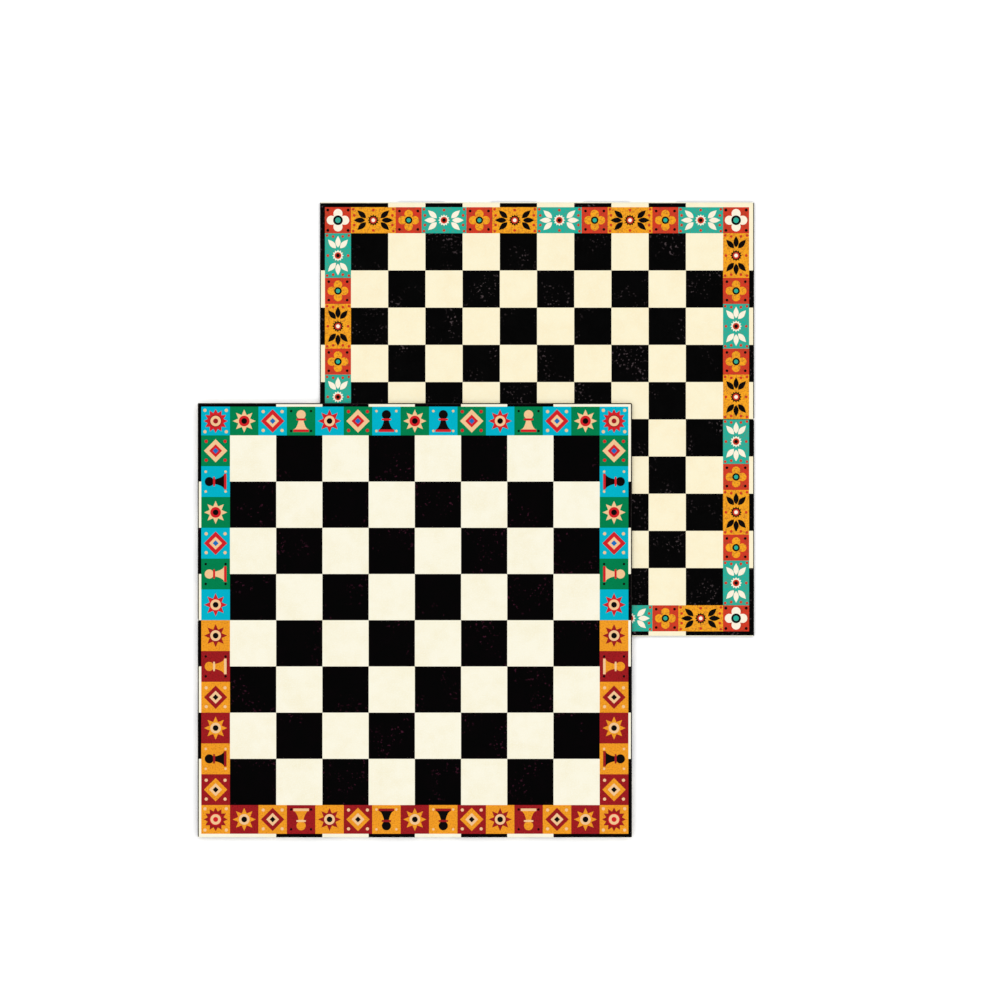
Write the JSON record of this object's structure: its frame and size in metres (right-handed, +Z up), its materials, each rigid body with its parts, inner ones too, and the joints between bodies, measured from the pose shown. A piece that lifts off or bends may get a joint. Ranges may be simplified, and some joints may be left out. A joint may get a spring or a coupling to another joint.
{
  "type": "folding game board",
  "caption": "Reversible folding board for chess and checkers, shown as a pair so that each printed face lies upward, hinged along a cloth-backed fold.",
  "frame": {"origin": "on the table, under the middle of the pair's outline", "axes": "+Z up, +Y from the near player to the far player, +X to the near player's right"},
  "size_m": [0.4486, 0.512, 0.0053],
  "materials": {
    "greyboard": "raw pressed paper board",
    "chess_print": "printed paper, satin varnish",
    "checkers_print": "printed paper, satin varnish",
    "linen": "woven book cloth"
  },
  "bodies": {
    "lower_fixed_leaf": {"lower_fixed_core": "greyboard", "lower_fixed_chess_sheet": "chess_print", "lower_fixed_checkers_sheet": "checkers_print", "lower_chess_sheet_crease": "chess_print", "lower_hinge_cloth": "linen"},
    "lower_folding_leaf": {"lower_folding_core": "greyboard", "lower_folding_chess_sheet": "chess_print", "lower_folding_checkers_sheet": "checkers_print"},
    "upper_fixed_leaf": {"upper_fixed_core": "greyboard", "upper_fixed_chess_sheet": "chess_print", "upper_fixed_checkers_sheet": "checkers_print", "upper_chess_sheet_crease": "chess_print", "upper_hinge_cloth": "linen"},
    "upper_folding_leaf": {"upper_folding_core": "greyboard", "upper_folding_chess_sheet": "chess_print", "upper_folding_checkers_sheet": "checkers_print"}
  },
  "joints": [
    {"name": "lower_fold", "type": "hinge", "parent": "lower_fixed_leaf", "child": "lower_folding_leaf", "pos_m": [0.04925, 0.081, -0.00015], "axis": [-1, 0, 0], "range_deg": [0, 179.8], "deforming": ["lower_chess_sheet_crease", "lower_hinge_cloth"]},
    {"name": "upper_lift", "type": "slide", "parent": "lower_fixed_leaf", "child": "upper_fixed_leaf", "axis": [0, 0, 1], "range_m": [0, 0.12]},
    {"name": "upper_fold", "type": "hinge", "parent": "upper_fixed_leaf", "child": "upper_folding_leaf", "pos_m": [-0.04925, -0.081, 0.00545], "axis": [-1, 0, 0], "range_deg": [0, 179.8], "deforming": ["upper_chess_sheet_crease", "upper_hinge_cloth"]}
  ]
}
